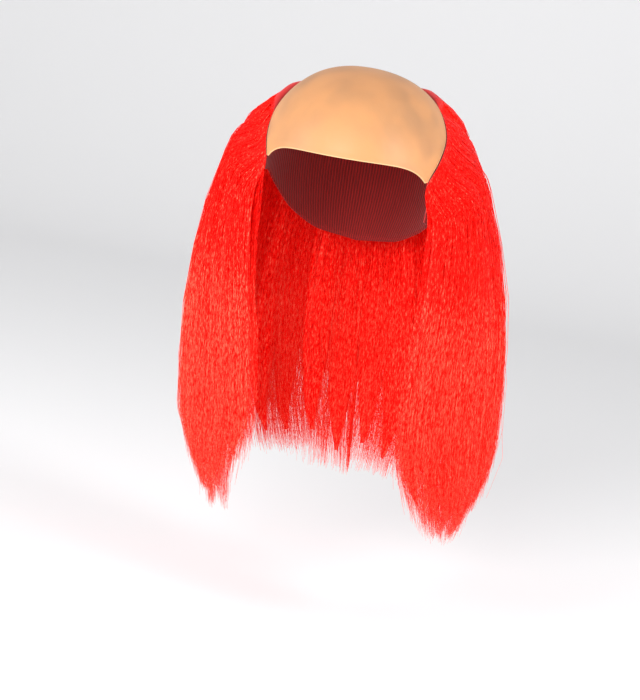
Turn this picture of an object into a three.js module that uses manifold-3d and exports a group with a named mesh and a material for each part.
// A clown's headpiece: a bald latex pate over a cloth wig cap, with long straight red hair round the
// sides and back. Millimetres, +Z up, the wearer faces -Y. The origin is on the inner face of the pate
// at its top, where the crown of the head bears.
import * as THREE from "three";
import { mergeVertices } from "three/addons/utils/BufferGeometryUtils.js";
import Module from "manifold-3d";

const wasm = await Module();
wasm.setup();

// Head form that the cap is cut for
const headHalfWidth = 76.3;
const headFront = 95.2;
const headBack = 98.4;
const crownHeight = 81.5;
const crownRoundness = 2.23;
const napeDepth = 66;
const napeTuck = 20;
const sideTuck = 4;

// Walls and clearances
const capWall = 1.2;
const pateWall = 1.5;
const weftWall = 1.2;
const seatGap = 0.7;
const edgeGap = 0.6;
const capTuckUnder = 12;
const capSetBack = 6;
const weftWidth = 14;

// Pate outline
const templeAzimuth = 55.4;
const browDrop = 65;
const templeDrop = 78;
const browCornerPower = 6;

// Hair
const hairLength = 294;
const hairHalfWidth = 136;
const hairBack = 108;
const hairFront = 88;
const hairCentre = 10;
const faceHalfGap = 70;
const hairSway = 4.7;
const locksPerSide = 13;
const lockWidth = 30;
const lockThickness = 15;
const lockLayering = 4.5;
const seamAzimuth = 128;
const seamGap = 0.4;

// The pate's side and back edge: azimuth from the front in degrees, drop as a share of crownHeight
const hairline = [
  { azimuth: templeAzimuth, drop: templeDrop / crownHeight },
  { azimuth: 57, drop: 0.9 },
  { azimuth: 63, drop: 0.78 },
  { azimuth: 70.5, drop: 0.65 },
  { azimuth: 80, drop: 0.51 },
  { azimuth: 90, drop: 0.354 },
  { azimuth: 101, drop: 0.25 },
  { azimuth: 115, drop: 0.177 },
  { azimuth: 135, drop: 0.108 },
  { azimuth: 158, drop: 0.069 },
  { azimuth: 180, drop: 0.058 },
];

// The wig cap's lower edge: it dips before the ear, rises over it and runs down to the nape.
// depth is a share of napeDepth below the widest part of the head.
const capHem = [
  { azimuth: templeAzimuth, depth: 0.36 },
  { azimuth: 66, depth: 0.42 },
  { azimuth: 76, depth: 0.34 },
  { azimuth: 88, depth: 0.18 },
  { azimuth: 98, depth: 0.18 },
  { azimuth: 112, depth: 0.4 },
  { azimuth: 128, depth: 0.72 },
  { azimuth: 148, depth: 0.92 },
  { azimuth: 180, depth: 1 },
];

// Soft dents and one rise in the pate. depth is a share of pateWall, spread a share of headHalfWidth.
const dents = [
  { azimuth: -38, drop: 0.34, depth: 0.9, spread: 0.22 },
  { azimuth: 44, drop: 0.4, depth: 0.9, spread: 0.24 },
  { azimuth: 20, drop: 0.12, depth: 0.6, spread: 0.2 },
  { azimuth: -60, drop: 0.06, depth: -0.7, spread: 0.3 },
];

// The hair as it falls. fall is a share of hairLength below the widest part of the head, width a
// share of hairHalfWidth, back and front shares of the reach each way, gap a share of faceHalfGap.
const fallSections = [
  { fall: 0, width: 0.803, back: 1, front: 1, gap: 1.04 },
  { fall: 0.13, width: 0.888, back: 1.01, front: 1.01, gap: 1.11 },
  { fall: 0.3, width: 0.963, back: 1.0, front: 1.02, gap: 1.07 },
  { fall: 0.5, width: 1, back: 0.99, front: 1.02, gap: 0.97 },
  { fall: 0.73, width: 0.996, back: 0.97, front: 1.0, gap: 0.93 },
  { fall: 0.88, width: 0.91, back: 0.94, front: 0.94, gap: 1.1 },
  { fall: 1, width: 0.79, back: 0.9, front: 0.86, gap: 1.3 },
];

// How far down each lock reaches. place runs from the temple (0) to the back of the head (1).
const lockEnds = [
  { place: 0, reach: 0.83 },
  { place: 0.07, reach: 0.95 },
  { place: 0.15, reach: 1 },
  { place: 0.27, reach: 0.97 },
  { place: 0.4, reach: 0.88 },
  { place: 0.6, reach: 0.86 },
  { place: 0.8, reach: 0.9 },
  { place: 1, reach: 0.92 },
];

// How a lock leaves the head, from the temple (0) to the back (1). lift is its angle in degrees,
// down its start on the sewn strip as a share of weftWidth: the strip shows bare near the crown.
const lockRoots = [
  { place: 0, lift: 12, down: 0.3 },
  { place: 0.2, lift: 24, down: 0.35 },
  { place: 0.42, lift: 31, down: 0.45 },
  { place: 0.65, lift: 24, down: 0.65 },
  { place: 1, lift: 14, down: 0.65 },
];
const leastRootPlace = 0.08;

// A lock's section along its length, as shares of lockWidth and lockThickness
const lockSections = [
  { along: 0, width: 0.5, thickness: 0.1 },
  { along: 0.06, width: 0.7, thickness: 0.32 },
  { along: 0.14, width: 0.84, thickness: 0.62 },
  { along: 0.26, width: 0.92, thickness: 0.9 },
  { along: 0.45, width: 0.98, thickness: 1 },
  { along: 0.7, width: 1, thickness: 0.92 },
  { along: 0.88, width: 0.66, thickness: 0.62 },
  { along: 1, width: 0.1, thickness: 0.14 },
];

// Mesh fineness
const browColumns = 12;
const sideColumns = 18;
const pateRings = 9;
const capRows = 8;
const weftRows = 2;
const lockSides = 6;
const lockSteps = 10;

const pateInner = capWall + seatGap;
const pateOuter = pateInner + pateWall;
const weftInner = capWall + seatGap;
const weftOuter = weftInner + weftWall;
const widestZ = -pateInner - crownHeight;
const bluntness = 2 / crownRoundness;
const { degToRad, lerp, clamp, smoothstep } = THREE.MathUtils;

// Reads a table's column at a value of its first column, along a smooth curve that never overshoots.
function readTable(rows, key, column, at) {
  const last = rows.length - 1;
  if (at <= rows[0][key]) return rows[0][column];
  if (at >= rows[last][key]) return rows[last][column];
  const i = rows.findIndex((row) => row[key] > at) - 1;
  const slope = (k) => (rows[k + 1][column] - rows[k][column]) / (rows[k + 1][key] - rows[k][key]);
  const tangent = (k) => {
    if (k === 0) return slope(0);
    if (k === last) return slope(last - 1);
    const before = slope(k - 1);
    const after = slope(k);
    return before * after <= 0 ? 0 : (2 * before * after) / (before + after);
  };
  const span = rows[i + 1][key] - rows[i][key];
  const t = (at - rows[i][key]) / span;
  const low = rows[i][column] * (1 + 2 * t) * (1 - t) ** 2 + span * tangent(i) * t * (1 - t) ** 2;
  return low + rows[i + 1][column] * t * t * (3 - 2 * t) + span * tangent(i + 1) * t * t * (t - 1);
}

// A point on the head form. level 0 is the crown, 1 the widest part and 2 the nape; offset grows it.
function headPoint(azimuth, level, offset) {
  const a = degToRad(azimuth);
  const polar = (Math.min(level, 1) * Math.PI) / 2;
  const below = Math.max(level - 1, 0);
  const backness = (1 - Math.cos(a)) / 2;
  const tuck = lerp(sideTuck, napeTuck, smoothstep(backness, 0.5, 1)) * below ** 2;
  const reach = lerp(headFront, headBack, backness) + offset - tuck;
  const round = Math.sin(polar) ** bluntness;
  return new THREE.Vector3(
    (headHalfWidth + offset - tuck) * Math.sin(a) * round,
    -reach * Math.cos(a) * round,
    widestZ + (crownHeight + offset) * Math.cos(polar) ** bluntness - napeDepth * below,
  );
}

// The level at which the crown has dropped by a share of its height
function levelAtDrop(drop) {
  return Math.acos(clamp(1 - drop, 0, 1) ** (1 / bluntness)) / (Math.PI / 2);
}

const azimuthFromFront = (azimuth) => Math.abs(((azimuth + 540) % 360) - 180);

function hairlineLevel(azimuth) {
  return levelAtDrop(readTable(hairline, "azimuth", "drop", azimuthFromFront(azimuth)));
}

function browLevel(azimuth) {
  const across = (azimuthFromFront(azimuth) / templeAzimuth) ** browCornerPower;
  return levelAtDrop(lerp(browDrop, templeDrop, across) / crownHeight);
}

function pateEdgeLevel(azimuth) {
  return azimuthFromFront(azimuth) < templeAzimuth ? browLevel(azimuth) : hairlineLevel(azimuth);
}

// How much level changes for a millimetre down the head
function levelPerMillimetre(azimuth, level) {
  const step = 0.01;
  const from = headPoint(azimuth, level - step, 0);
  return step / from.distanceTo(headPoint(azimuth, level, 0));
}

// A level that many millimetres outside the hairline, square to it
function levelOutsideHairline(azimuth, distance) {
  const step = 0.4;
  const here = headPoint(azimuth, hairlineLevel(azimuth), 0);
  const next = headPoint(azimuth + step, hairlineLevel(azimuth + step), 0);
  const level = hairlineLevel(azimuth);
  const sideways = headPoint(azimuth + step, level, 0).distanceTo(here);
  const stretch = Math.min(next.distanceTo(here) / sideways, 6);
  return level + distance * stretch * levelPerMillimetre(azimuth, level);
}

// Azimuths of the mesh columns from the temple round to the back, closer where the hairline is steep
function sideAzimuths() {
  const samples = 400;
  const lengths = [0];
  const azimuthAt = (k) => lerp(templeAzimuth, 180, k / samples);
  let before = headPoint(templeAzimuth, hairlineLevel(templeAzimuth), 0);
  for (let k = 1; k <= samples; k++) {
    const point = headPoint(azimuthAt(k), hairlineLevel(azimuthAt(k)), 0);
    lengths.push(lengths[k - 1] + point.distanceTo(before));
    before = point;
  }
  const mixed = lengths.map((length, k) => (length / lengths[samples] + k / samples) / 2);
  return Array.from({ length: sideColumns + 1 }, (_, i) => {
    const wanted = i / sideColumns;
    const k = Math.max(mixed.findIndex((m) => m >= wanted - 1e-9), 0);
    return azimuthAt(k);
  });
}

const rightAzimuths = sideAzimuths();
const leftAzimuths = rightAzimuths.slice(0, -1).reverse().map((azimuth) => 360 - azimuth);
const hairAzimuths = [...rightAzimuths, ...leftAzimuths];
const browAzimuths = Array.from(
  { length: browColumns - 1 },
  (_, i) => 360 + lerp(-templeAzimuth, templeAzimuth, (i + 1) / browColumns),
);
const allAzimuths = [...hairAzimuths, ...browAzimuths];

function dentAt(point) {
  return dents.reduce((sum, dent) => {
    const centre = headPoint(dent.azimuth, levelAtDrop(dent.drop), pateOuter);
    const away = point.distanceTo(centre) / (dent.spread * headHalfWidth);
    return sum + dent.depth * pateWall * Math.exp(-(away ** 2));
  }, 0);
}

// A closed solid between an outer and an inner sheet of points. Each sheet is a list of rows; the
// rows wrap round when closed is true, and a sheet whose first row is one point comes to a pole.
function shellGeometry(outer, inner, closed) {
  const positions = [];
  const faces = [];
  const place = (sheet) =>
    sheet.map((row) => row.map((p) => positions.push(p.x, p.y, p.z) / 3 - 1));
  const quad = (a, b, c, d) => faces.push(a, b, c, a, c, d);
  const at = (row, i) => row[i % row.length];
  const outside = place(outer);
  const inside = place(inner);
  const spans = (row) => (closed ? row.length : row.length - 1);
  for (let j = 1; j < outside.length; j++) {
    const [upper, lower] = [outside[j - 1], outside[j]];
    const [innerUpper, innerLower] = [inside[j - 1], inside[j]];
    for (let i = 0; i < spans(lower); i++) {
      if (upper.length === 1) {
        faces.push(upper[0], lower[i], at(lower, i + 1));
        faces.push(innerUpper[0], at(innerLower, i + 1), innerLower[i]);
      } else {
        quad(upper[i], lower[i], at(lower, i + 1), at(upper, i + 1));
        quad(innerUpper[i], at(innerUpper, i + 1), at(innerLower, i + 1), innerLower[i]);
      }
    }
    if (!closed) {
      const end = lower.length - 1;
      quad(innerUpper[0], innerLower[0], lower[0], upper[0]);
      quad(upper[end], lower[end], innerLower[end], innerUpper[end]);
    }
  }
  const rims = outside[0].length === 1 ? [outside.length - 1] : [0, outside.length - 1];
  for (const j of rims) {
    for (let i = 0; i < spans(outside[j]); i++) {
      const rim = [outside[j][i], inside[j][i], at(inside[j], i + 1), at(outside[j], i + 1)];
      quad(...(j === 0 ? rim.reverse() : rim));
    }
  }
  const geometry = new THREE.BufferGeometry();
  geometry.setAttribute("position", new THREE.Float32BufferAttribute(positions, 3));
  geometry.setIndex(faces);
  return geometry;
}

function toSolid(geometry) {
  const bare = new THREE.BufferGeometry();
  bare.setAttribute("position", geometry.getAttribute("position"));
  bare.setIndex(geometry.getIndex());
  const merged = mergeVertices(bare, 1e-4);
  return new wasm.Manifold(
    new wasm.Mesh({
      numProp: 3,
      vertProperties: new Float32Array(merged.attributes.position.array),
      triVerts: new Uint32Array(merged.index.array),
    }),
  );
}

function toGeometry(solid) {
  const mesh = solid.getMesh();
  const geometry = new THREE.BufferGeometry();
  geometry.setAttribute("position", new THREE.BufferAttribute(mesh.vertProperties, 3));
  geometry.setIndex(new THREE.BufferAttribute(mesh.triVerts, 1));
  return geometry;
}

// The largest body of a solid, with the pockets between locks filled
function largestBody(solid) {
  return solid.decompose().reduce((a, b) => (b.volume() > a.volume() ? b : a));
}

// The bald latex dome, open below, with its cut edge along the brow and the hairline
function pateGeometry() {
  const sheet = (offset) => {
    const rows = [[headPoint(0, 0, offset)]];
    for (let ring = 1; ring <= pateRings; ring++) {
      rows.push(
        allAzimuths.map((azimuth) => {
          const level = (pateEdgeLevel(azimuth) * ring) / pateRings;
          const point = headPoint(azimuth, level, offset);
          const dent = dentAt(headPoint(azimuth, level, pateOuter));
          const inwards = headPoint(azimuth, level, offset - 1).sub(point);
          return point.addScaledVector(inwards, dent);
        }),
      );
    }
    rows[0][0].z -= dentAt(headPoint(0, 0, pateOuter));
    return rows;
  };
  return shellGeometry(sheet(pateOuter), sheet(pateInner), true);
}

// The cloth cap under the hair, from below the pate's edge to the temples, ears and nape
function wigCapGeometry() {
  const sheet = (offset) =>
    Array.from({ length: capRows + 1 }, (_, row) =>
      hairAzimuths.map((hairAzimuth) => {
        const azimuth = lerp(180, hairAzimuth, 1 - capSetBack / (180 - templeAzimuth));
        const line = hairlineLevel(azimuth);
        const top = line - capTuckUnder * levelPerMillimetre(azimuth, line);
        const hem = 1 + readTable(capHem, "azimuth", "depth", azimuthFromFront(azimuth));
        return headPoint(azimuth, lerp(top, hem, row / capRows), offset);
      }),
    );
  return shellGeometry(sheet(capWall), sheet(0), false);
}

// The sewn strip just outside the hairline that carries the hair
function weftGeometry() {
  const sheet = (offset) =>
    Array.from({ length: weftRows + 1 }, (_, row) =>
      hairAzimuths.map((azimuth) => {
        const start = levelOutsideHairline(azimuth, edgeGap);
        const width = weftWidth * levelPerMillimetre(azimuth, start);
        return headPoint(azimuth, start + (width * row) / weftRows, offset);
      }),
    );
  return shellGeometry(sheet(weftOuter), sheet(weftInner), false);
}

// The space that the pate takes, grown by the edge gap and open above, so that no hair lies over it
function pateClearance() {
  const above = 40;
  const sheet = (offset) => {
    const rows = [[headPoint(0, 0, offset)]];
    for (let ring = 1; ring <= pateRings; ring++) {
      rows.push(
        allAzimuths.map((azimuth) => {
          const isBrow = azimuthFromFront(azimuth) < templeAzimuth;
          const edge = isBrow ? browLevel(azimuth) : levelOutsideHairline(azimuth, edgeGap);
          return headPoint(azimuth, (edge * ring) / pateRings, offset);
        }),
      );
    }
    return rows;
  };
  return toSolid(shellGeometry(sheet(above), sheet(-capWall), true));
}

// The head with the wig cap on it, grown by the seat gap, which the hair keeps clear of
function headClearance() {
  const domeRows = 9;
  const belowRows = 5;
  const rings = domeRows + belowRows;
  const levelAt = (ring) => (ring <= domeRows ? ring / domeRows : 1 + (ring - domeRows) / belowRows);
  const positions = [];
  const faces = [];
  const add = (p) => positions.push(p.x, p.y, p.z) / 3 - 1;
  const top = add(headPoint(0, 0, weftInner));
  const rows = Array.from({ length: rings }, (_, ring) =>
    allAzimuths.map((azimuth) => add(headPoint(azimuth, levelAt(ring + 1), weftInner))),
  );
  const bottom = add(new THREE.Vector3(0, 0, widestZ - napeDepth));
  const count = allAzimuths.length;
  for (let i = 0; i < count; i++) {
    const next = (i + 1) % count;
    faces.push(top, rows[0][i], rows[0][next]);
    faces.push(bottom, rows[rings - 1][next], rows[rings - 1][i]);
    for (let ring = 1; ring < rings; ring++) {
      faces.push(rows[ring - 1][i], rows[ring][i], rows[ring][next]);
      faces.push(rows[ring - 1][i], rows[ring][next], rows[ring - 1][next]);
    }
  }
  const geometry = new THREE.BufferGeometry();
  geometry.setAttribute("position", new THREE.Float32BufferAttribute(positions, 3));
  geometry.setIndex(faces);
  return toSolid(geometry);
}

// The hair hangs a little towards +X below the widest part of the head
const swayAt = (z) => Math.tan(degToRad(hairSway)) * Math.max(widestZ - z, 0);

// Where a lock lies as it falls. side is 1 or -1, place runs from the temple to the back.
function fallingPoint(side, place, fall, inset) {
  const read = (column) => readTable(fallSections, "fall", column, fall);
  const halfWidth = hairHalfWidth * read("width");
  const frontAngle = Math.asin(Math.min((faceHalfGap * read("gap")) / halfWidth, 1));
  const angle = lerp(frontAngle, Math.PI, place);
  const reach = Math.cos(angle) > 0 ? hairFront * read("front") : hairBack * read("back");
  const z = widestZ - fall * hairLength;
  return new THREE.Vector3(
    side * (halfWidth - inset) * Math.sin(angle) + swayAt(z),
    hairCentre - (reach - inset) * Math.cos(angle),
    z,
  );
}

// The azimuth of a place along the hairline, by its length
const hairlineAzimuthAt = (() => {
  const samples = 400;
  const azimuthAt = (k) => lerp(templeAzimuth, 180, k / samples);
  const points = Array.from({ length: samples + 1 }, (_, k) =>
    headPoint(azimuthAt(k), hairlineLevel(azimuthAt(k)), 0),
  );
  const lengths = [0];
  for (let k = 1; k <= samples; k++) lengths.push(lengths[k - 1] + points[k].distanceTo(points[k - 1]));
  return (place) => azimuthAt(lengths.findIndex((length) => length >= place * lengths[samples] - 1e-9));
})();

// The line that a lock follows: out from the weft, over the cap, then down
function lockPath(side, place, reach, inset) {
  const rootPlace = Math.max(place, leastRootPlace);
  const azimuth = side * hairlineAzimuthAt(rootPlace);
  const level = levelOutsideHairline(side * azimuth, edgeGap);
  const perMillimetre = levelPerMillimetre(azimuth, level);
  const rootDown = weftWidth * readTable(lockRoots, "place", "down", place);
  const rootOffset = weftInner + weftWall / 2;
  const root = headPoint(azimuth, level + rootDown * perMillimetre, rootOffset);
  const lift = Math.tan(degToRad(readTable(lockRoots, "place", "lift", place)));
  const outwards = headPoint(azimuth, level + rootDown * perMillimetre, rootOffset + 1).sub(root);
  const downwards = headPoint(azimuth, level + weftWidth * perMillimetre, rootOffset).sub(root);
  const leave = downwards.normalize().addScaledVector(outwards, lift);
  const leastJoin = 34;
  const joinFall = Math.max((widestZ - root.z + leastJoin) / hairLength, 0);
  const join = fallingPoint(side, place, joinFall, inset);
  const backUp = join.clone().sub(fallingPoint(side, place, joinFall + 0.03, inset)).normalize();
  const handle = 0.5 * join.distanceTo(root);
  const arc = new THREE.CubicBezierCurve3(
    root,
    root.clone().addScaledVector(leave, handle),
    join.clone().addScaledVector(backUp, handle),
    join,
  );
  const arcPoints = 6;
  const fallPoints = 7;
  const points = arc.getPoints(arcPoints);
  for (let k = 1; k <= fallPoints; k++) {
    points.push(fallingPoint(side, place, lerp(joinFall, reach, k / fallPoints), inset));
  }
  return new THREE.CatmullRomCurve3(points);
}

// One lock: an oval section swept along its path, thin at the weft and drawn out to a tip
function lockSolid(side, index) {
  const place = (index + 0.5) / locksPerSide;
  const uneven = Math.sin(index * 2.3 + side);
  const reach = readTable(lockEnds, "place", "reach", place) * (1 + 0.03 * uneven);
  const inset = lockThickness / 2 + lockLayering * (index % 2);
  const path = lockPath(side, place, reach, inset);
  const positions = [];
  const faces = [];
  for (let step = 0; step <= lockSteps; step++) {
    const along = (step / lockSteps) ** 1.25;
    const centre = path.getPointAt(along);
    const tangent = path.getTangentAt(along);
    const inside = new THREE.Vector3(swayAt(centre.z), 0, Math.min(centre.z, widestZ));
    const across = new THREE.Vector3().crossVectors(tangent, centre.clone().sub(inside)).normalize();
    const out = new THREE.Vector3().crossVectors(across, tangent);
    const width = lockWidth * readTable(lockSections, "along", "width", along);
    const thickness = lockThickness * readTable(lockSections, "along", "thickness", along);
    for (let k = 0; k < lockSides; k++) {
      const turn = (2 * Math.PI * k) / lockSides;
      const point = centre
        .clone()
        .addScaledVector(across, (width / 2) * Math.cos(turn))
        .addScaledVector(out, (thickness / 2) * Math.sin(turn));
      positions.push(point.x, point.y, point.z);
    }
  }
  for (let k = 0; k < lockSides; k++) {
    const next = (k + 1) % lockSides;
    for (let step = 0; step < lockSteps; step++) {
      const low = step * lockSides;
      const high = low + lockSides;
      faces.push(low + k, high + next, low + next, low + k, high + k, high + next);
    }
  }
  for (let k = 1; k < lockSides - 1; k++) {
    const end = lockSteps * lockSides;
    faces.push(0, k, k + 1, end, end + k + 1, end + k);
  }
  const geometry = new THREE.BufferGeometry();
  geometry.setAttribute("position", new THREE.Float32BufferAttribute(positions, 3));
  geometry.setIndex(faces);
  return toSolid(geometry);
}

// The part of a solid that lies in front of the seam on one side of the hair, or behind it
function trimAtSeam(solid, side, front) {
  const a = degToRad(seamAzimuth);
  const sign = front ? -1 : 1;
  const normal = [sign * side * Math.cos(a), sign * Math.sin(a), 0];
  return solid.trimByPlane(normal, sign * Math.sin(a) * hairCentre + seamGap / 2);
}

function hairSolids() {
  const weft = toSolid(weftGeometry());
  const keepOut = headClearance().add(pateClearance());
  const locks = [1, -1].flatMap((side) =>
    Array.from({ length: locksPerSide }, (_, index) => lockSolid(side, index)),
  );
  const all = wasm.Manifold.union(locks).subtract(keepOut).add(weft);
  const sideHair = (side) => trimAtSeam(all.trimByPlane([side, 0, 0], 0), side, true);
  const backHair = trimAtSeam(trimAtSeam(all, 1, false), -1, false);
  return [sideHair(1), sideHair(-1), backHair].map((solid) => largestBody(solid));
}

const materials = {
  latex: new THREE.MeshStandardMaterial({ color: 0xf0b87c, roughness: 0.55, metalness: 0 }),
  cloth: new THREE.MeshStandardMaterial({ color: 0xb30d0a, roughness: 0.95, metalness: 0 }),
  hair: new THREE.MeshStandardMaterial({ color: 0xf01408, roughness: 0.5, metalness: 0 }),
};

function piece(name, geometry, material) {
  const mesh = new THREE.Mesh(geometry, material);
  mesh.name = name;
  return mesh;
}

const headpiece = new THREE.Group();
const [hairRight, hairLeft, hairBehind] = hairSolids();
headpiece.add(
  piece("bald_pate", pateGeometry(), materials.latex),
  piece("wig_cap", wigCapGeometry(), materials.cloth),
  piece("hair_left", toGeometry(hairLeft), materials.hair),
  piece("hair_right", toGeometry(hairRight), materials.hair),
  piece("hair_back", toGeometry(hairBehind), materials.hair),
);

export default headpiece;
